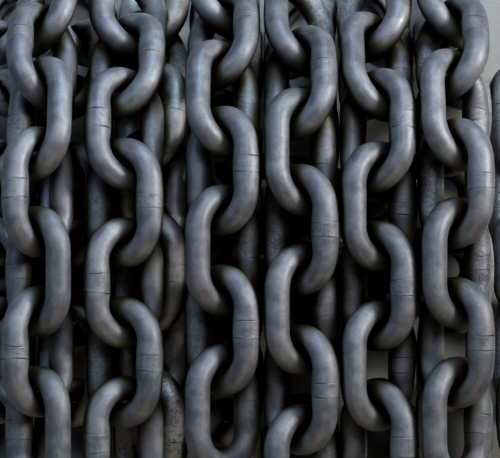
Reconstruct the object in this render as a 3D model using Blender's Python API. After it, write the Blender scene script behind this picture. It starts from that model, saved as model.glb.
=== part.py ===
"""Heap of welded iron chain: six runs side by side over a lower layer, two cross runs and two edge runs.

Units are metres, +Z up, +Y up the picture, the origin under the middle of the heap on the floor.
The heap rests on the floor. Its front slopes gently up to a brow, and its back falls away behind it.
Every link of the upper layer is a solid of its own. A hidden run is one solid, its links joined where they bear.
"""

import math

import bmesh
import bpy
import numpy as np
from mathutils import Matrix, Vector
from mathutils.bvhtree import BVHTree

# One link: welded round bar, short-link proportions
WIRE = 0.016
PITCH = 0.0515
LINK_WIDTH = 0.058
WELD_SWELL = 1.10
WELD_HALF_LENGTH = 0.007

# How the layers lie
REST_GAP = 0.0003
LINK_PLAY = 0.0003
BROW_RADIUS = 0.140
FLANK_LENGTH = 0.198
STEEPEST_DEG = 60.0

# The upper runs, left to right: place across the heap, how far up the slope each starts, how far its
# links lean from lying flat, whether the first one leans right, and which way the links with a weld on top lean
UPPER_LINKS = 7
UPPER_PLACES = (-0.1330, -0.0795, -0.0172, 0.0323, 0.0812, 0.1302)
UPPER_STARTS = (0.0267, 0.0221, 0.0409, 0.0031, 0.0187, 0.0321)
UPPER_LEANS_DEG = (50.0, 37.0, 43.0, 44.0, 42.0, 46.0)
UPPER_RIGHT_FIRST = (True, False, False, False, True, False)
UPPER_WELDS_SHOWN = ("left", "both", "right", "right", "right", "right")

# The lower runs, left to right: side by side about the middle of the heap, how far up each starts,
# and whether its first link leans right
LOWER_LINKS = 7
LOWER_LEAN_DEG = 40.0
SIDE_CLEARANCE = 0.0011
HEAP_MIDDLE = -0.0154
LOWER_STARTS = (0.034, 0.032, 0.041, 0.018, 0.021, 0.032, 0.042)
LOWER_RIGHT_FIRST = (True, False, True, False, True, False, True)

# Two runs across the heap hold its brow up, and one lies along each side on the floor
CROSS_LINKS = 6
CROSS_LEAN_DEG = 42.0
CROSS_SPACING = 0.052
EDGE_LINKS = 5
EDGE_LEAN_DEG = 40.0
EDGE_CLEARANCE = 0.0030
EDGE_STARTS = (0.060, 0.045)

# Facets
UPPER_BEND_STEPS = 6
UPPER_SIDES = 8
LOWER_BEND_STEPS = 4
LOWER_SIDES = 6

# How closely places, slopes and contacts are searched, by halving
PATH_HALVINGS = 40
CONTACT_HALVINGS = 14
SLOPE_HALVINGS = 10
FALL_STEP = WIRE / 4

IRON_COLOUR = (0.11, 0.115, 0.125, 1.0)
IRON_ROUGHNESS = 0.42
IRON_METALLIC = 0.85


def clear_scene():
    for old in list(bpy.data.objects):
        bpy.data.objects.remove(old)


def new_collection(name):
    made = bpy.data.collections.new(name)
    bpy.context.scene.collection.children.link(made)
    return made


def iron_material(name):
    """Dark rolled iron with its mill scale on."""
    made = bpy.data.materials.new(name)
    made.use_nodes = True
    shader = made.node_tree.nodes["Principled BSDF"]
    shader.inputs["Base Color"].default_value = IRON_COLOUR
    shader.inputs["Roughness"].default_value = IRON_ROUGHNESS
    shader.inputs["Metallic"].default_value = IRON_METALLIC
    return made


def link_outline(bend_steps, swell):
    """The bar's centreline round one link, as (across, along, swell) points.

    The link's long side lies along the run. The weld is in the middle of the limb on the +across side.
    """
    bend_radius = (LINK_WIDTH - WIRE) / 2
    straight = PITCH + WIRE - 2 * bend_radius
    outline = []
    for end in (1, -1):
        for step in range(bend_steps + 1):
            turn = math.pi * step / bend_steps
            across = bend_radius * math.cos(turn) * end
            along = end * (straight / 2 + bend_radius * math.sin(turn))
            outline.append((across, along, 1.0))
    if swell:
        outline.append((bend_radius, -WELD_HALF_LENGTH, WELD_SWELL))
        outline.append((bend_radius, WELD_HALF_LENGTH, WELD_SWELL))
    return outline


def link_object(name, pose, bend_steps, sides, swell, collection, material):
    """One link: a closed wire through the outline's points, thicker at its weld.

    The wire has flat sides, so it is made a little thicker, to the same section area as the round bar.
    """
    outline = link_outline(bend_steps, swell)
    curve = bpy.data.curves.new(name, "CURVE")
    curve.dimensions = "3D"
    curve.bevel_depth = WIRE / 2 * math.sqrt(2 * math.pi / (sides * math.sin(2 * math.pi / sides)))
    curve.bevel_resolution = (sides - 4) // 2
    spline = curve.splines.new("POLY")
    spline.points.add(len(outline) - 1)
    for target, (across, along, radius) in zip(spline.points, outline):
        target.co = (across, along, 0.0, 1.0)
        target.radius = radius
    spline.use_cyclic_u = True
    curve.materials.append(material)
    made = bpy.data.objects.new(name, curve)
    made.matrix_world = pose
    collection.objects.link(made)
    return made


def link_shape(bend_steps, sides, swell, collection, material):
    """The points and faces of one link as it is built, in its own plane, to measure contact with."""
    sample = link_object("sample", Matrix(), bend_steps, sides, swell, collection, material)
    bpy.context.view_layer.update()
    shown = sample.evaluated_get(bpy.context.evaluated_depsgraph_get())
    mesh = shown.to_mesh()
    points = np.array([vertex.co for vertex in mesh.vertices])
    faces = [tuple(face.vertices) for face in mesh.polygons]
    shown.to_mesh_clear()
    bpy.data.objects.remove(sample)
    return points, faces


def placed_points(shape, pose):
    matrix = np.array(pose)
    return shape[0] @ matrix[:3, :3].T + matrix[:3, 3]


def tree_of(links):
    """A search tree over (shape, pose) links."""
    points, faces = [], []
    for shape, pose in links:
        base = len(points)
        points += placed_points(shape, pose).tolist()
        faces += [tuple(base + corner for corner in face) for face in shape[1]]
    return BVHTree.FromPolygons(points, faces)


def path_point(distance, slopes):
    """(forward, height) on a run's line, that far up from its front end.

    The line rises straight up the flank, turns over the brow and falls straight down the back, at the two
    slopes given. A run with no slopes lies straight on the level.
    """
    flank, back = slopes
    if distance < FLANK_LENGTH:
        return distance * math.cos(flank), distance * math.sin(flank)
    arc = BROW_RADIUS * (flank + back)
    slope = flank - min(distance - FLANK_LENGTH, arc) / BROW_RADIUS
    forward = FLANK_LENGTH * math.cos(flank) + BROW_RADIUS * (math.sin(flank) - math.sin(slope))
    height = FLANK_LENGTH * math.sin(flank) + BROW_RADIUS * (math.cos(slope) - math.cos(flank))
    beyond = max(0.0, distance - FLANK_LENGTH - arc)
    return forward + beyond * math.cos(slope), height + beyond * math.sin(slope)


def link_end(slopes, distance):
    """The distance along the line at which a straight link that begins there ends."""
    low, high = distance, distance + 2 * PITCH
    start = path_point(distance, slopes)
    for _ in range(PATH_HALVINGS):
        middle = (low + high) / 2
        if math.dist(path_point(middle, slopes), start) < PITCH:
            low = middle
        else:
            high = middle
    return (low + high) / 2


def link_pose(low_end, high_end, lean):
    """The matrix that carries a link from its own plane to its place between two points of a run."""
    along = (high_end - low_end).normalized()
    side = Vector((1, 0, 0)) if abs(along.x) < 0.5 else Vector((0, 1, 0))
    above = side.cross(along).normalized()
    if above.z < 0:
        above = -above
    side = along.cross(above).normalized()
    across = side * math.cos(lean) + above * math.sin(lean)
    facing = across.cross(along).normalized()
    made = Matrix((across, along, facing)).transposed().to_4x4()
    made.translation = (low_end + high_end) / 2
    return made


def pose_on_path(slopes, place, distance, lean):
    ends = [Vector((place, *path_point(d, slopes))) for d in (distance, link_end(slopes, distance))]
    return link_pose(ends[0], ends[1], lean)


def clear_of_last(shape, slopes, place, distance, lean, last):
    """The place nearest to distance, down the run, where a link just clears the last one."""
    before = tree_of([(shape, last)])
    tight, slack = distance, distance - WIRE / 2
    for _ in range(CONTACT_HALVINGS):
        middle = (tight + slack) / 2
        if tree_of([(shape, pose_on_path(slopes, place, middle, lean))]).overlap(before):
            tight = middle
        else:
            slack = middle
    return slack - REST_GAP


def run_poses(slopes, place, start, count, lean_deg, right_first, welds="both", shape=None):
    """The poses of one run's links, front to back, each hanging in the one before and leaning the other way.

    Separate links are let down until their faceted bars are clear of each other. The links of a run that
    is one solid are not: there the flat sides meet, and the links are united.
    """
    poses = []
    distance = start
    for index in range(count):
        leans_right = right_first == (index % 2 == 0)
        lean = math.radians(lean_deg if leans_right else 180 - lean_deg)
        if welds not in ("both", "right" if leans_right else "left"):
            lean += math.pi
        if poses and shape:
            distance = clear_of_last(shape, slopes, place, distance, lean, poses[-1])
        poses.append(pose_on_path(slopes, place, distance, lean))
        distance = link_end(slopes, distance) - LINK_PLAY
    return poses


def cross_run_poses(forward):
    """The poses of a run that lies straight across the heap under its brow."""
    poses = run_poses((0.0, 0.0), 0.0, 0.0, CROSS_LINKS, CROSS_LEAN_DEG, True)
    middle = sum(pose.translation.y for pose in poses) / len(poses)
    moved = Matrix.Translation((HEAP_MIDDLE - middle, forward, 0.0)) @ Matrix.Rotation(-math.pi / 2, 4, "Z")
    return [moved @ pose for pose in poses]


def side_by_side():
    """The places of the lower runs and of the two edge runs beside them, each clear of the next."""
    width = (LINK_WIDTH - WIRE) * math.cos(math.radians(LOWER_LEAN_DEG)) + WIRE
    step = width + SIDE_CLEARANCE
    outermost = step * (len(LOWER_STARTS) - 1) / 2
    lower = [HEAP_MIDDLE - outermost + step * number for number in range(len(LOWER_STARTS))]
    beyond = outermost + width + EDGE_CLEARANCE
    return lower, [HEAP_MIDDLE - beyond, HEAP_MIDDLE + beyond]


def lifted(poses, height):
    up = Matrix.Translation((0, 0, height))
    return [up @ pose for pose in poses]


def lying_on(poses, shape, placed):
    """The run set down from above until it meets a link that is there already, or the floor."""
    points = np.concatenate([placed_points(shape, pose) for pose in poses])
    on_floor = -points[:, 2].min()
    reach = PITCH + WIRE
    near = [
        (other, spot) for other, spot in placed
        if points[:, 0].min() - reach < spot.translation.x < points[:, 0].max() + reach
    ]
    if not near:
        return lifted(poses, on_floor)
    tree = tree_of(near)
    top = max(placed_points(other, spot)[:, 2].max() for other, spot in near)

    def meets(height):
        return bool(tree_of([(shape, pose) for pose in lifted(poses, height)]).overlap(tree))

    height = max(on_floor, top + REST_GAP - points[:, 2].min())
    while height - FALL_STEP > on_floor and not meets(height - FALL_STEP):
        height -= FALL_STEP
    low = max(height - FALL_STEP, on_floor)
    if not meets(low):
        return lifted(poses, low)
    for _ in range(CONTACT_HALVINGS // 2):
        middle = (low + height) / 2
        if meets(middle):
            low = middle
        else:
            height = middle
    return lifted(poses, height + REST_GAP)


def draped(shape, place, start, right_first, placed):
    """A lower run with its front link on the floor, laid over the cross runs, its back end down on the floor.

    Its flank is the gentlest slope that clears the cross runs, and its back then falls as far as it can.
    """

    def laid(flank, back):
        poses = run_poses((flank, back), place, start, LOWER_LINKS, LOWER_LEAN_DEG, right_first)
        return lifted(poses, -placed_points(shape, poses[0])[:, 2].min())

    def meets(poses):
        return bool(tree_of([(shape, pose) for pose in poses]).overlap(under))

    under = tree_of(placed)
    back = 0.0
    for _ in range(2):
        low, flank = 0.0, math.radians(STEEPEST_DEG)
        for _ in range(SLOPE_HALVINGS):
            middle = (low + flank) / 2
            if meets(lifted(laid(middle, back), -REST_GAP)):
                low = middle
            else:
                flank = middle
        back, high = 0.0, math.radians(STEEPEST_DEG)
        for _ in range(SLOPE_HALVINGS):
            middle = (back + high) / 2
            if placed_points(shape, laid(flank, middle)[-1])[:, 2].min() < 0:
                high = middle
            else:
                back = middle
    return laid(flank, back), (flank, back)


def meshed(curve_object):
    """The same object as a mesh, so that a Boolean can take it."""
    bpy.context.view_layer.update()
    graph = bpy.context.evaluated_depsgraph_get()
    mesh = bpy.data.meshes.new_from_object(curve_object.evaluated_get(graph))
    shape = bmesh.new()
    shape.from_mesh(mesh)
    bmesh.ops.remove_doubles(shape, verts=shape.verts, dist=0.00001)
    shape.to_mesh(mesh)
    shape.free()
    mesh.shade_smooth()
    name = curve_object.name
    made = bpy.data.objects.new(name, mesh)
    made.matrix_world = curve_object.matrix_world
    for holder in curve_object.users_collection:
        holder.objects.link(made)
    bpy.data.objects.remove(curve_object)
    made.name = name
    return made


def joined_run(name, poses, collection, cutters, material):
    """A hidden run as one solid: its links are united where each bites into the next."""
    links = []
    for index, pose in enumerate(poses, 1):
        piece = f"{name}_piece_{index}"
        made = link_object(piece, pose, LOWER_BEND_STEPS, LOWER_SIDES, False, cutters, material)
        links.append(meshed(made))
    first = links[0]
    cutters.objects.unlink(first)
    collection.objects.link(first)
    first.name = name
    for other in links[1:]:
        other.hide_render = True
        other.display_type = "WIRE"
        union = first.modifiers.new(f"joined_{other.name}", "BOOLEAN")
        union.operation = "UNION"
        union.object = other


def centre_on_floor(collections, links):
    """Moves everything so that the heap's footprint is centred on the origin and it stands on the floor."""
    points = np.concatenate([placed_points(shape, pose) for shape, pose in links])
    low, high = points.min(axis=0), points.max(axis=0)
    shift = Vector((-(low[0] + high[0]) / 2, -(low[1] + high[1]) / 2, -low[2]))
    for collection in collections:
        for made in collection.objects:
            made.location = made.location + shift


def main():
    clear_scene()
    heap = new_collection("chain_heap")
    helpers = new_collection("joined_links")
    helpers.hide_render = True
    iron = iron_material("dark_iron")
    upper_link = link_shape(UPPER_BEND_STEPS, UPPER_SIDES, True, heap, iron)
    lower_link = link_shape(LOWER_BEND_STEPS, LOWER_SIDES, False, heap, iron)
    placed = []
    hidden = {}

    for number, side in enumerate((-1, 1), 1):
        poses = cross_run_poses(FLANK_LENGTH + side * CROSS_SPACING / 2)
        hidden[f"cross_run_{number}"] = lying_on(poses, lower_link, placed)
        placed += [(lower_link, pose) for pose in hidden[f"cross_run_{number}"]]

    all_slopes = []
    cross_links = list(placed)
    lower_places, edge_places = side_by_side()
    for number, (place, start, right) in enumerate(zip(lower_places, LOWER_STARTS, LOWER_RIGHT_FIRST), 1):
        poses, slopes = draped(lower_link, place, start, right, cross_links)
        all_slopes.append(slopes)
        hidden[f"lower_run_{number}"] = poses
        placed += [(lower_link, pose) for pose in poses]

    for number, (place, start) in enumerate(zip(edge_places, EDGE_STARTS), 1):
        poses = run_poses((0.0, 0.0), place, start, EDGE_LINKS, EDGE_LEAN_DEG, number == 1)
        hidden[f"edge_run_{number}"] = lying_on(poses, lower_link, placed)
        placed += [(lower_link, pose) for pose in hidden[f"edge_run_{number}"]]

    slopes = np.mean(all_slopes, axis=0)
    upper = zip(UPPER_PLACES, UPPER_STARTS, UPPER_LEANS_DEG, UPPER_RIGHT_FIRST, UPPER_WELDS_SHOWN)
    for number, (place, start, lean, right, welds) in enumerate(upper, 1):
        poses = run_poses(slopes, place, start, UPPER_LINKS, lean, right, welds, upper_link)
        run = lying_on(poses, upper_link, placed)
        placed += [(upper_link, pose) for pose in run]
        for index, pose in enumerate(run, 1):
            name = f"upper_{number}_link_{index}"
            link_object(name, pose, UPPER_BEND_STEPS, UPPER_SIDES, True, heap, iron)

    for name, run in hidden.items():
        joined_run(name, run, heap, helpers, iron)
    centre_on_floor((heap, helpers), placed)


main()
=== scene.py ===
"""A heap of welded iron chain: six runs of loose links side by side over a lower layer.

Metres, +Z up, +Y up the picture. Every link is laid where the frame's link lies.
"""

import math

import bpy
import numpy as np
from mathutils import Matrix, Vector
from mathutils.bvhtree import BVHTree


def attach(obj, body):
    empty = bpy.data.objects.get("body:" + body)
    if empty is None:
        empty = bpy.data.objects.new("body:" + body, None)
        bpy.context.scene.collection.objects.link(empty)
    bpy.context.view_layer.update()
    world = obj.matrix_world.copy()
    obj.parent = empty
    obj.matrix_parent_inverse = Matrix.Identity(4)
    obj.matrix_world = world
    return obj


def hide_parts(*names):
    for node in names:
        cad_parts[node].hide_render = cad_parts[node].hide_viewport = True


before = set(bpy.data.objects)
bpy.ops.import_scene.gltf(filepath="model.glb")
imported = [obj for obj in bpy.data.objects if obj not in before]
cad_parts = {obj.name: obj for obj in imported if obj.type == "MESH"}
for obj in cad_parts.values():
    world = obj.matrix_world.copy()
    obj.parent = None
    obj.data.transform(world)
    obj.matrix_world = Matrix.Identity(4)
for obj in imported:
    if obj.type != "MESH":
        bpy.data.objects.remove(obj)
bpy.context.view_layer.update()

# The upper chain: six runs of seven loose links. Each link is a cut of 16 mm round bar, bent hot to a
# stadium and butt welded in the middle of one long side. The weld stands a little proud of the bar, with
# a trimmed ring at each side of it, and mill scale covers the rest.
UPPER_RUNS = 6
UPPER_LINKS = 7
BAR_RADIUS = 0.00795
BEND_RADIUS = 0.021
STRAIGHT = 0.0255
link_length = 2 * STRAIGHT + 2 * math.pi * BEND_RADIUS

# How finely a link is drawn: the points round the bar, and about how far apart the rings of points lie on
# the straight limbs and on the bends. They lie closer at the weld's two trimmed rings.
UPPER_SIDES = 26
UPPER_STEPS = (0.0022, 0.0019)
TRIM_STEPS = (-1.5, -0.95, -0.6, -0.34, -0.14, 0.0, 0.14, 0.34, 0.6, 0.95, 1.5)
TRIM_STEP = 0.001
CLEAR_OF_TRIM = 0.0021


def ring_distances(trims, steps):
    """Distances along the bar, from the middle of the weld round the link, that get a ring of points."""
    limb_step, bend_step = steps
    half = link_length / 2
    bend = math.pi * BEND_RADIUS
    marks = [STRAIGHT / 2 + bend * t for t in np.linspace(0, 1, round(bend / bend_step) + 1)]
    marks += list(np.linspace(half - STRAIGHT / 2, half, round(STRAIGHT / 2 / limb_step) + 1)[1:])
    marks = [-m for m in marks[:-1]] + marks
    fine = [trim + TRIM_STEP * step for trim in trims for step in TRIM_STEPS]
    plain = np.linspace(-STRAIGHT / 2, STRAIGHT / 2, round(STRAIGHT / limb_step) + 1)[1:-1]
    clear = [p for p in plain if all(abs(p - trim) > CLEAR_OF_TRIM for trim in trims)]
    return np.array(sorted(marks + fine + clear))


def bar_line(distance):
    """The bar's centre and its outward direction in the link's plane at those distances."""
    turn = np.clip((np.abs(distance) - STRAIGHT / 2) / BEND_RADIUS, 0, math.pi)
    up = np.where(distance < 0, -1.0, 1.0)
    run = np.minimum(np.abs(distance), STRAIGHT / 2)
    back = np.maximum(np.abs(distance) - STRAIGHT / 2 - math.pi * BEND_RADIUS, 0)
    centre = np.stack([BEND_RADIUS * np.cos(turn), up * (run + BEND_RADIUS * np.sin(turn) - back)], 1)
    outward = np.stack([np.cos(turn), up * np.sin(turn)], 1)
    return centre, outward


WELD_RISE = 0.00080
WELD_HALF_SPREAD = 0.0105
WELD_STEEPNESS = 5
UNEVEN_WAVES = 6
UNEVEN_HEIGHT = 0.000085
BEND_FLATTENING = 0.00018
BEND_EASE = 0.006


def bar_radius(along, around, chance):
    """The bar's radius with its weld, the waves that rolling left in it and its bends, a little flattened."""
    radius = BAR_RADIUS + WELD_RISE / (1 + (np.abs(along) / WELD_HALF_SPREAD) ** WELD_STEEPNESS)
    for waves in range(1, UNEVEN_WAVES + 1):
        height = UNEVEN_HEIGHT / math.sqrt(waves)
        lobes = chance.integers(0, 4)
        shift = chance.uniform(0, 2 * math.pi)
        radius += height * np.cos(2 * math.pi * waves * along / link_length + lobes * around + shift)
    bent = np.clip((np.abs(along) - STRAIGHT / 2) / BEND_EASE, 0, 1)
    bent *= np.clip((STRAIGHT / 2 + math.pi * BEND_RADIUS - np.abs(along)) / BEND_EASE, 0, 1)
    radius -= BEND_FLATTENING * bent * np.cos(2 * around)
    return radius


ANY_TURN = 6.3
TRIM_FAINTEST = 0.4
TRIM_WANDER = 0.00060
TRIM_RIPPLE = 0.00022
TRIM_PULL = 0.0018
GROOVE_DEPTH = 0.00024
GROOVE_WIDTH = 0.00028
LIP_HEIGHT = 0.00008
LIP_OFFSET = 0.0007
LIP_WIDTH = 0.00045
TRIM_MARK_WIDTH = 0.00034


def cut_trim_rings(along, around, radius, trims, chance):
    """The rings of points pulled to the two trimmed rings, which wander, and each ring's groove and lip."""
    ring_mark = np.zeros_like(along)
    for trim in trims:
        drift = TRIM_WANDER * np.sin(around + chance.uniform(0, ANY_TURN))
        drift = drift + TRIM_RIPPLE * np.sin(3 * around + chance.uniform(0, ANY_TURN))
        depth = 0.50 + 0.50 * np.sin(around * chance.integers(2, 4) + chance.uniform(0, ANY_TURN))
        depth *= chance.uniform(TRIM_FAINTEST, 1.0)
        along = along + drift * np.exp(-(((along - trim) / TRIM_PULL) ** 2))
        off = along - trim - drift
        inward = -off * np.sign(trim - trims.mean())
        radius = radius - GROOVE_DEPTH * depth * np.exp(-((off / GROOVE_WIDTH) ** 2))
        radius = radius + LIP_HEIGHT * np.exp(-(((inward - LIP_OFFSET) / LIP_WIDTH) ** 2))
        ring_mark = np.maximum(ring_mark, depth * np.exp(-((off / TRIM_MARK_WIDTH) ** 2)))
    return along, radius, ring_mark


def heap_tree():
    """A search tree over every solid of the frame, to find what is buried and what lies open."""
    points, faces = [], []
    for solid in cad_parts.values():
        faces += [tuple(len(points) + corner for corner in face.vertices) for face in solid.data.polygons]
        points += [vertex.co[:] for vertex in solid.data.vertices]
    return BVHTree.FromPolygons(points, faces)


# Painted shade: the hidden places are painted brown and near black, as ambient occlusion. Each place on a
# link looks out as far as REACH in LOOKS directions, spread over the side that it faces, and starts clear of
# its own solid.
heap = heap_tree()
REACH = 0.075
LINK_STATIONS = 28
BAR_STATIONS = 12
LOOKS = 22
GOLDEN_TURN = 2.39996
NEAR_WELD = 0.016
OVER_WELD = 0.0024
OVER_BAR = 0.0012


def openness(pose):
    """How much of its surroundings each place on a link sees.

    The places are stations round the link and round the bar.
    """
    along_link = (np.arange(LINK_STATIONS) / LINK_STATIONS - 0.5) * link_length
    around_bar = np.arange(BAR_STATIONS) * 2 * math.pi / BAR_STATIONS
    along, around = np.meshgrid(along_link, around_bar, indexing="ij")
    centre, outward = bar_line(along.ravel())
    matrix = np.array(pose)
    level = np.sin(around).ravel()[:, None]
    normal = np.concatenate([np.cos(around).ravel()[:, None] * outward, level], axis=1) @ matrix[:3, :3].T
    middle = np.concatenate([centre, np.zeros((len(centre), 1))], axis=1) @ matrix[:3, :3].T
    middle += matrix[:3, 3]
    lift = np.where(np.abs(along.ravel()) < NEAR_WELD, OVER_WELD, OVER_BAR)
    start = middle + (BAR_RADIUS + lift)[:, None] * normal
    off_axis = np.where(np.abs(normal[:, :1]) < 0.7, (1.0, 0.0, 0.0), (0.0, 1.0, 0.0))
    side = np.cross(normal, off_axis)
    side /= np.linalg.norm(side, axis=1)[:, None]
    other = np.cross(normal, side)
    seen = np.zeros(len(start))
    for look in range(LOOKS):
        tilt = math.sqrt((look + 0.5) / LOOKS)
        spin = look * GOLDEN_TURN
        way = math.cos(spin) * tilt * side + math.sin(spin) * tilt * other
        way = way + math.sqrt(1 - tilt * tilt) * normal
        for spot in range(len(start)):
            height, drop = start[spot][2], way[spot][2]
            if drop < 0 and height < -drop * REACH:
                continue
            if heap.ray_cast(Vector(start[spot]), Vector(way[spot]), REACH)[0] is None:
                seen[spot] += 1 / LOOKS
    return seen.reshape(LINK_STATIONS, BAR_STATIONS)


def between_stations(values, along, around):
    """Values at the stations, read off at any place on the link."""
    station = (along / link_length + 0.5) * LINK_STATIONS
    turn = around / (2 * math.pi) * BAR_STATIONS
    i, j = np.floor(station).astype(int), np.floor(turn).astype(int)
    past, past_turn = station - i, turn - j
    i, j, i2, j2 = i % LINK_STATIONS, j % BAR_STATIONS, (i + 1) % LINK_STATIONS, (j + 1) % BAR_STATIONS
    near = values[i, j] * (1 - past_turn) + values[i, j2] * past_turn
    return near * (1 - past) + (values[i2, j] * (1 - past_turn) + values[i2, j2] * past_turn) * past


def soft_step(value):
    value = np.clip(value, 0, 1)
    return value * value * (3 - 2 * value)


def around_faces(rings, sides):
    """Four-cornered faces between each ring of points and the next, closed round the link."""
    first = np.arange(rings)[:, None] * sides
    a = first + np.arange(sides)[None, :]
    b = first + (np.arange(sides)[None, :] + 1) % sides
    c, d = np.roll(b, -1, axis=0), np.roll(a, -1, axis=0)
    return np.stack([a, b, c, d], axis=2).reshape(-1, 4)


# Where the painted shade falls: a place that sees more than the open share gets none, and one that sees less
# than the black share is painted fully dark. The lower of a link's two limbs sees less, so it counts as
# unshaded sooner, and it is grittier.
TRIM_GAPS = (0.0040, 0.0062)
WELD_SHIFT = 0.001
WELD_MARK_MARGIN = 0.0006
WELD_MARK_STEEPNESS = 12
UPPER_OPEN = 0.87
BLACK_OPEN = 0.11
LOW_LIMB_TOP = 0.2
LOW_LIMB_SPAN = 0.9
LOW_LIMB_LESS_SHADED = 0.22
LOW_LIMB_SHARPER = 0.15
UPPER_GRIT_BELOW = 0.2
GRIT_MOST = 0.95
GRIT_SPAN = 0.7
GRAIN_ROUND = 8.0
GRAIN_ALONG = 2.6
GRAIN_APART = 40.0


def link_points(pose, seed, sides, steps, grit_below, unshaded_open):
    """One link's points and faces, in place, its marks, its rolled grain and its grit.

    The marks are weld, trimmed ring, painted shade and lot. The grain is the point's place round the bar and
    round the link.
    """
    chance = np.random.default_rng(seed)
    trims = np.array((-1.0, 1.0)) * chance.uniform(*TRIM_GAPS) + chance.uniform(-WELD_SHIFT, WELD_SHIFT)
    distance = ring_distances(trims, steps)
    along, around = np.meshgrid(distance, np.arange(sides) * 2 * math.pi / sides, indexing="ij")
    radius = bar_radius(along, around, chance)
    along, radius, ring_mark = cut_trim_rings(along, around, radius, trims, chance)

    centre, outward = bar_line(along.ravel())
    r = radius.ravel()[:, None]
    side = np.cos(around).ravel()[:, None] * outward
    local = np.concatenate([centre + r * side, r * np.sin(around).ravel()[:, None]], axis=1)
    matrix = np.array(pose)
    points = local @ matrix[:3, :3].T + matrix[:3, 3]

    weld_half = trims[1] - trims.mean() + WELD_MARK_MARGIN
    weld = 1 / (1 + (np.abs(along.ravel() - trims.mean()) / weld_half) ** WELD_MARK_STEEPNESS)
    axis_depth = centre[:, 0] * matrix[2, 0] / (BEND_RADIUS * abs(matrix[2, 0]))
    seen = between_stations(openness(pose), along, around).ravel()
    # Painted shade: the less of its surroundings a place sees, the darker it is painted; the lower limb's
    # threshold is eased.
    low_limb = soft_step((LOW_LIMB_TOP - axis_depth) / LOW_LIMB_SPAN)
    shade_span = unshaded_open - BLACK_OPEN - LOW_LIMB_SHARPER * low_limb
    painted_shade = soft_step((unshaded_open - LOW_LIMB_LESS_SHADED * low_limb - seen) / shade_span)
    lot = chance.uniform()
    marks = np.stack([weld, ring_mark.ravel(), painted_shade, np.full(len(points), lot)], axis=1)
    loop = 2 * math.pi * along.ravel() / link_length
    grain = (GRAIN_ROUND * np.cos(around).ravel(), GRAIN_ROUND * np.sin(around).ravel(),
             GRAIN_ALONG * np.cos(loop) + GRAIN_APART * lot, GRAIN_ALONG * np.sin(loop))
    grit = chance.uniform(0.0, GRIT_MOST) ** 2 * soft_step((grit_below - axis_depth) / GRIT_SPAN)
    return points, around_faces(len(distance), sides), marks, np.stack(grain, axis=1), grit


def chain_piece(name, links, material, nodes):
    """A mesh object of these links, standing for those frame nodes."""
    points, faces, marks, grain, grit = zip(*links)
    starts = np.cumsum([0] + [len(part) for part in points[:-1]])
    all_faces = np.concatenate([part + start for part, start in zip(faces, starts)])
    mesh = bpy.data.meshes.new(name)
    mesh.from_pydata(np.concatenate(points).tolist(), [], all_faces.tolist())
    for label, parts in (("marks", marks), ("rolled", grain)):
        layer = mesh.attributes.new(label, "FLOAT_COLOR", "POINT")
        layer.data.foreach_set("color", np.concatenate(parts).astype(np.float32).ravel())
    layer = mesh.attributes.new("grit", "FLOAT", "POINT")
    layer.data.foreach_set("value", np.concatenate(grit).astype(np.float32))
    mesh.shade_smooth()
    mesh.materials.append(material)
    piece = bpy.data.objects.new(name, mesh)
    bpy.context.scene.collection.objects.link(piece)
    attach(piece, "root")
    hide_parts(*nodes)


TENTH_MM = 0.0001
DECIMALS = 5


def loose_link_pose(node):
    """Where a separate link of the frame lies: its matrix, with +X towards the limb that has the weld."""
    corners = [vertex.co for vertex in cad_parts[node].data.vertices]
    points = np.unique(np.round(corners, DECIMALS), axis=0)
    middle = points.mean(axis=0)
    _, axes = np.linalg.eigh(np.cov((points - middle).T))
    along, across = axes[:, 2], axes[:, 1]
    if along[1] < 0:
        along = -along
    reach = (points - middle) @ along
    tips = points[(reach > reach.max() - TENTH_MM) | (reach < reach.min() + TENTH_MM)]
    if (points - tips.mean(axis=0)).sum(axis=0) @ across < 0:
        across = -across
    rows = np.array((across, along, np.cross(across, along)))
    spread = (points - middle) @ rows.T
    place = middle + along * (spread[:, 1].max() + spread[:, 1].min()) / 2
    place = place + rows[2] * (spread[:, 2].max() + spread[:, 2].min()) / 2
    place = place + across * ((tips - middle) @ across).mean()
    pose = Matrix(rows).transposed().to_4x4()
    pose.translation = Vector(place)
    return pose


# The first colour is the brown of the painted shade.
PAINTED_SHADE_BROWN = (0.135, 0.125, 0.075)
GRIT_PALE = (0.66, 0.70, 0.74)
RING_BLACK = (0.012, 0.011, 0.010)
BLUSH = (1.0, 0.94, 0.95)
STEEL_METALLIC = 0.5
CLOUD_SCALE = 95.0
BLUSH_SCALE = 70.0
GRAIN_SCALE = 520.0
FLAKE_SCALE = 560.0
SPECK_SCALE = 1150.0
SPECK_DARKER = 0.45
BARE_BRIGHTER = 1.25
BUMP_STRENGTH = 0.35
BUMP_HEIGHT = 0.0003


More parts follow.
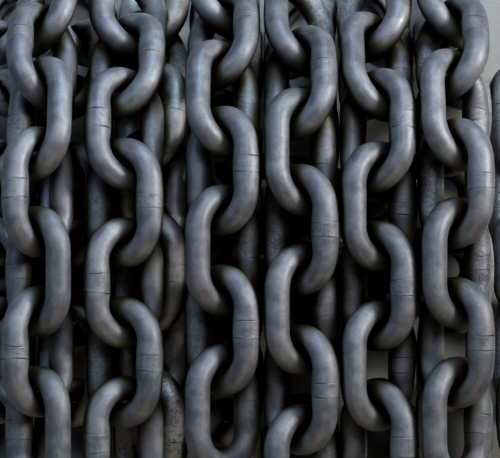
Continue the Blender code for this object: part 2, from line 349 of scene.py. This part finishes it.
def chain_steel(name, light, dark, grit_and_shade_black, dullness):
    """Hot rolled steel with its mill scale.

    It is cloudy blue-grey, finely specked, painted brown and then near black as shade where it lies hidden,
    and bare at the weld.
    """
    made = bpy.data.materials.new(name)
    made.use_nodes = True
    nodes, wires = made.node_tree.nodes, made.node_tree.links
    shader = nodes["Principled BSDF"]

    def node(kind, **values):
        new = nodes.new(kind)
        for key, value in values.items():
            setattr(new, key, value)
        return new

    def noise(scale, detail, rough=0.55):
        new = node("ShaderNodeTexNoise")
        new.inputs["Scale"].default_value = scale
        new.inputs["Detail"].default_value = detail
        new.inputs["Roughness"].default_value = rough
        wires.new(place.outputs["Object"], new.inputs["Vector"])
        return new.outputs["Fac"]

    def ranged(value, low, high, to_low=0.0, to_high=1.0):
        new = node("ShaderNodeMapRange", interpolation_type="SMOOTHSTEP")
        for key, number in (("From Min", low), ("From Max", high), ("To Min", to_low), ("To Max", to_high)):
            new.inputs[key].default_value = number
        wires.new(value, new.inputs["Value"])
        return new.outputs["Result"]

    def worked(kind, one, other):
        new = node("ShaderNodeMath", operation=kind)
        for end, value in zip(new.inputs, (one, other)):
            if isinstance(value, float):
                end.default_value = value
            else:
                wires.new(value, end)
        return new.outputs["Value"]

    def added(one, other):
        return worked("ADD", one, other)

    def times(one, other):
        return worked("MULTIPLY", one, other)

    def mixed(share, one, other, blend="MIX"):
        new = node("ShaderNodeMix", data_type="RGBA", blend_type=blend)
        wires.new(share, new.inputs["Factor"])
        for end, value in ((new.inputs[6], one), (new.inputs[7], other)):
            if isinstance(value, tuple):
                end.default_value = (*value, 1.0)
            else:
                wires.new(value, end)
        return new.outputs[2]

    place = node("ShaderNodeTexCoord")
    marks = node("ShaderNodeAttribute", attribute_name="marks")
    split = node("ShaderNodeSeparateColor")
    wires.new(marks.outputs["Color"], split.inputs["Color"])
    weld, ring, painted_shade = split.outputs
    lot = marks.outputs["Alpha"]

    cloud = noise(CLOUD_SCALE, 5.0)
    speck = noise(SPECK_SCALE, 3.0, 0.65)
    grain = noise(GRAIN_SCALE, 4.0, 0.6)
    blush = noise(BLUSH_SCALE, 3.0)
    flake = noise(FLAKE_SCALE, 4.0, 0.75)
    gritty = node("ShaderNodeAttribute", attribute_name="grit").outputs["Fac"]
    rolled = node("ShaderNodeAttribute", attribute_name="rolled")
    streaks = node("ShaderNodeTexNoise", noise_dimensions="4D")
    streaks.inputs["Scale"].default_value = 1.0
    streaks.inputs["Detail"].default_value = 3.0
    wires.new(rolled.outputs["Color"], streaks.inputs["Vector"])
    wires.new(rolled.outputs["Alpha"], streaks.inputs["W"])
    streak = streaks.outputs["Fac"]

    tone = added(ranged(cloud, 0.34, 0.68, 0.0, 0.8), ranged(lot, 0.0, 1.0, -0.1, 0.3))
    tone = added(tone, ranged(streak, 0.34, 0.66, -0.13, 0.13))
    colour = mixed(tone, dark, light)
    colour = mixed(ranged(blush, 0.40, 0.62), colour, BLUSH, "MULTIPLY")
    colour = mixed(ranged(speck, 0.54, 0.70, 0.0, 0.50), colour, tuple(SPECK_DARKER * part for part in dark))
    colour = mixed(times(gritty, ranged(flake, 0.53, 0.63, 0.0, 0.75)), colour, GRIT_PALE)
    colour = mixed(times(gritty, ranged(flake, 0.47, 0.37, 0.0, 0.85)), colour, grit_and_shade_black)
    # Painted shade: the third mark paints hidden places brown and then near black, and makes them more
    # metallic and rougher.
    painted_shade = times(painted_shade, ranged(cloud, 0.25, 0.60, 0.80, 1.0))
    colour = mixed(ranged(painted_shade, 0.0, 0.55), colour, PAINTED_SHADE_BROWN)
    colour = mixed(ranged(painted_shade, 0.40, 0.95), colour, grit_and_shade_black)
    bare = times(times(weld, worked("SUBTRACT", 1.0, painted_shade)), ranged(grain, 0.42, 0.66, 0.0, 0.32))
    colour = mixed(bare, colour, tuple(BARE_BRIGHTER * part for part in light))
    colour = mixed(ring, colour, RING_BLACK)
    wires.new(colour, shader.inputs["Base Color"])
    wires.new(ranged(painted_shade, 0.0, 0.9, STEEL_METALLIC, 1.0), shader.inputs["Metallic"])

    matt = ranged(cloud, 0.30, 0.70, dullness - 0.05, dullness + 0.07)
    matt = added(matt, ranged(grain, 0.3, 0.7, -0.03, 0.05))
    matt = added(matt, ranged(streak, 0.34, 0.66, -0.03, 0.03))
    matt = added(matt, times(painted_shade, 0.22))
    wires.new(matt, shader.inputs["Roughness"])

    bump = node("ShaderNodeBump")
    bump.inputs["Strength"].default_value = BUMP_STRENGTH
    bump.inputs["Distance"].default_value = BUMP_HEIGHT
    rough = added(times(grain, 0.7), times(speck, 0.3))
    wires.new(added(rough, times(gritty, flake)), bump.inputs["Height"])
    wires.new(bump.outputs["Normal"], shader.inputs["Normal"])
    return made


UPPER_LIGHT = (0.40, 0.42, 0.44)
UPPER_DARK = (0.24, 0.26, 0.29)
# The near black of the painted shade, which the dark grit flakes use too.
UPPER_GRIT_AND_SHADE_BLACK = (0.006, 0.005, 0.004)
upper_steel = chain_steel("upper_chain_steel", UPPER_LIGHT, UPPER_DARK, UPPER_GRIT_AND_SHADE_BLACK, 0.54)
for run in range(1, UPPER_RUNS + 1):
    for place in range(1, UPPER_LINKS + 1):
        node_name = f"upper_{run}_link_{place}"
        pose = loose_link_pose(node_name)
        link = link_points(pose, 100 * run + place, UPPER_SIDES, UPPER_STEPS, UPPER_GRIT_BELOW, UPPER_OPEN)
        chain_piece(f"top_run_{run}_link_{place}", [link], upper_steel, [node_name])

# The lower chain: seven runs of the same chain on the floor and over the cross runs. They are seen only in
# the gaps and lie in the upper chain's shade, so their steel is painted paler than the upper chain's as
# painted light, and they carry grit. Each run's links are separate, laid as the frame's joined run has them.
LOWER_RUNS = 7
LOWER_SIDES = 18
LOWER_STEPS = (0.0030, 0.0030)
LOWER_GRIT_BELOW = 1.6
LOWER_OPEN = 0.42
GRID = 10.0**DECIMALS
ACROSS_HEAP, UP_HEAP = 0, 1


def joined_link_poses(node, axis):
    """Where the links of a joined run lie. Each has four longest edges, two on the outside of each limb."""
    corners = {}
    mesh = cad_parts[node].data
    spots = np.array([vertex.co for vertex in mesh.vertices])
    index = [corners.setdefault(tuple(np.round(spot * GRID).astype(int)), len(corners)) for spot in spots]
    spots = np.array(list(corners)) / GRID
    ends = {tuple(sorted((index[edge.vertices[0]], index[edge.vertices[1]]))) for edge in mesh.edges}
    edges = np.array(sorted(ends))
    start, end = spots[edges[:, 0]], spots[edges[:, 1]]
    lengths = np.linalg.norm(end - start, axis=1)
    chosen = np.abs(lengths - lengths.max()) < TENTH_MM
    middles, ways = ((start + end) / 2)[chosen], ((end - start) / lengths[:, None])[chosen]
    order = np.argsort(middles[:, axis])
    poses = []
    for group in order.reshape(-1, 4):
        along = sum(way if way[axis] > 0 else -way for way in ways[group])
        along /= np.linalg.norm(along)
        middle = middles[group].mean(axis=0)
        _, axes = np.linalg.eigh(np.cov((middles[group] - middle).T))
        across = axes[:, 2] - along * (axes[:, 2] @ along)
        across /= np.linalg.norm(across)
        if across[2] < 0:
            across = -across
        pose = Matrix((across, along, np.cross(across, along))).transposed().to_4x4()
        pose.translation = Vector(middle)
        poses.append(pose)
    return poses


def laid_run(name, node, axis, seed, material):
    """One run of separate links in a single piece."""
    links = [
        link_points(pose, seed + number, LOWER_SIDES, LOWER_STEPS, LOWER_GRIT_BELOW, LOWER_OPEN)
        for number, pose in enumerate(joined_link_poses(node, axis))
    ]
    chain_piece(name, links, material, [node])


# Painted light: the lower runs' steel is paler than the upper chain's, so that they look lit in the upper
# chain's shade.
LOWER_PAINTED_LIT_LIGHT = (0.58, 0.59, 0.60)
LOWER_PAINTED_LIT_DARK = (0.36, 0.37, 0.38)
# The near black of the painted shade, which the dark grit flakes use too.
LOWER_GRIT_AND_SHADE_BLACK = (0.005, 0.0045, 0.004)
lower_painted_lit_steel = chain_steel("lower_chain_painted_lit_steel", LOWER_PAINTED_LIT_LIGHT, LOWER_PAINTED_LIT_DARK, LOWER_GRIT_AND_SHADE_BLACK, 0.50)
for run in range(1, LOWER_RUNS + 1):
    laid_run(f"under_run_{run}", f"lower_run_{run}", UP_HEAP, 1000 + 20 * run, lower_painted_lit_steel)

# Two runs of the same chain lie across the heap on the floor and hold its brow up. They are almost hidden,
# and their steel is painted the darkest, as painted shade.
# Painted shade: the cross runs' steel is near black, for the shade beneath the heap.
CROSS_PAINTED_SHADE_LIGHT = (0.12, 0.12, 0.12)
CROSS_PAINTED_SHADE_DARK = (0.06, 0.06, 0.06)
cross_painted_shade_steel = chain_steel("cross_chain_painted_shade_steel", CROSS_PAINTED_SHADE_LIGHT, CROSS_PAINTED_SHADE_DARK, LOWER_GRIT_AND_SHADE_BLACK, 0.55)
for run in (1, 2):
    seed = 2000 + 20 * run
    laid_run(f"crossing_run_{run}", f"cross_run_{run}", ACROSS_HEAP, seed, cross_painted_shade_steel)

# One more run of the same chain lies along each side on the floor, where the heap was let down loosely.
# It lies in the open, so its steel is darker than the lower runs' painted light, lighter than the cross runs'
# painted shade, and less black in its own painted shade.
EDGE_LIGHT = (0.34, 0.36, 0.38)
EDGE_DARK = (0.20, 0.21, 0.24)
# The near black of the painted shade, which the dark grit flakes use too.
EDGE_GRIT_AND_SHADE_BLACK = (0.014, 0.012, 0.010)
edge_steel = chain_steel("edge_chain_steel", EDGE_LIGHT, EDGE_DARK, EDGE_GRIT_AND_SHADE_BLACK, 0.45)
for run in (1, 2):
    laid_run(f"side_run_{run}", f"edge_run_{run}", UP_HEAP, 3000 + 20 * run, edge_steel)

# The floor is plain and pale, and isn't part of the heap. It lies a fifth of a millimetre below the level
# that the links rest on.
FLOOR_HALF = 4.0
FLOOR_LEVEL = -0.0002
FLOOR_GREY = (0.42, 0.42, 0.41, 1.0)
floor_mesh = bpy.data.meshes.new("floor")
floor_signs = ((-1, -1), (1, -1), (1, 1), (-1, 1))
floor_corners = [(x * FLOOR_HALF, y * FLOOR_HALF, FLOOR_LEVEL) for x, y in floor_signs]
floor_mesh.from_pydata(floor_corners, [], [(0, 1, 2, 3)])
floor_paint = bpy.data.materials.new("floor_paint")
floor_paint.use_nodes = True
floor_shader = floor_paint.node_tree.nodes["Principled BSDF"]
floor_shader.inputs["Base Color"].default_value = FLOOR_GREY
floor_shader.inputs["Roughness"].default_value = 0.7
floor_mesh.materials.append(floor_paint)
floor = bpy.data.objects.new("floor", floor_mesh)
bpy.context.scene.collection.objects.link(floor)

# Light: five plain lamps, behind the heap, to its right and left, above it and in front of it, all turned
# to its back left. The first two have grids, so that the front right falls dimmer. The view's gamma gives
# the contrast.
BACK_LEFT = Vector((-0.15, 0.30, 0.08))
VIEW_GAMMA = 0.77
WORLD_BLUE = (0.5, 0.56, 0.66, 1.0)
WORLD_STRENGTH = 0.01


def soft_light(name, place, width, power, colour, spread):
    """A square lamp of that width in metres, power in watts and spread in degrees."""
    lamp = bpy.data.lights.new(name, "AREA")
    lamp.shape = "SQUARE"
    lamp.size = width
    lamp.spread = math.radians(spread)
    lamp.energy = power
    lamp.color = colour
    holder = bpy.data.objects.new(name, lamp)
    holder.location = place
    holder.rotation_euler = (Vector(place) - BACK_LEFT).to_track_quat("Z", "Y").to_euler()
    bpy.context.scene.collection.objects.link(holder)


soft_light("back_light", (0.18, 0.86, 0.765), 0.4, 1.16, (0.64, 0.85, 1.0), 72)
soft_light("right_light", (1.416, 0.316, 1.059), 0.4, 3.0, (1.0, 0.97, 0.92), 56)
soft_light("left_light", (-0.982, 0.209, 1.195), 0.5, 4.9, (0.52, 0.74, 1.0), 180)
soft_light("top_light", (0.30, 0.60, 2.38), 0.8, 18.5, (0.88, 0.92, 1.0), 180)
soft_light("front_light", (0.0, -1.522, 0.574), 0.6, 3.2, (1.0, 0.82, 0.46), 180)
world = bpy.data.worlds.new("studio")
world.use_nodes = True
world.node_tree.nodes["Background"].inputs["Color"].default_value = WORLD_BLUE
world.node_tree.nodes["Background"].inputs["Strength"].default_value = WORLD_STRENGTH
bpy.context.scene.world = world
bpy.context.scene.view_settings.view_transform = "Standard"
bpy.context.scene.view_settings.gamma = VIEW_GAMMA

# The camera looks steeply down on the heap from the front, as the photograph does, from 1.9 m away with a
# long lens.
AIM = Vector((0.0157, -0.0041, 0.070))
ELEVATION = math.radians(72.65)
AWAY = 1.9
LENS = 211.8
SENSOR_WIDTH = 36.0
camera_data = bpy.data.cameras.new("camera")
camera_data.lens = LENS
camera_data.sensor_width = SENSOR_WIDTH
camera = bpy.data.objects.new("camera", camera_data)
camera.location = AIM + AWAY * Vector((0, -math.cos(ELEVATION), math.sin(ELEVATION)))
camera.rotation_euler = (math.pi / 2 - ELEVATION, 0, 0)
bpy.context.scene.collection.objects.link(camera)
bpy.context.scene.camera = camera
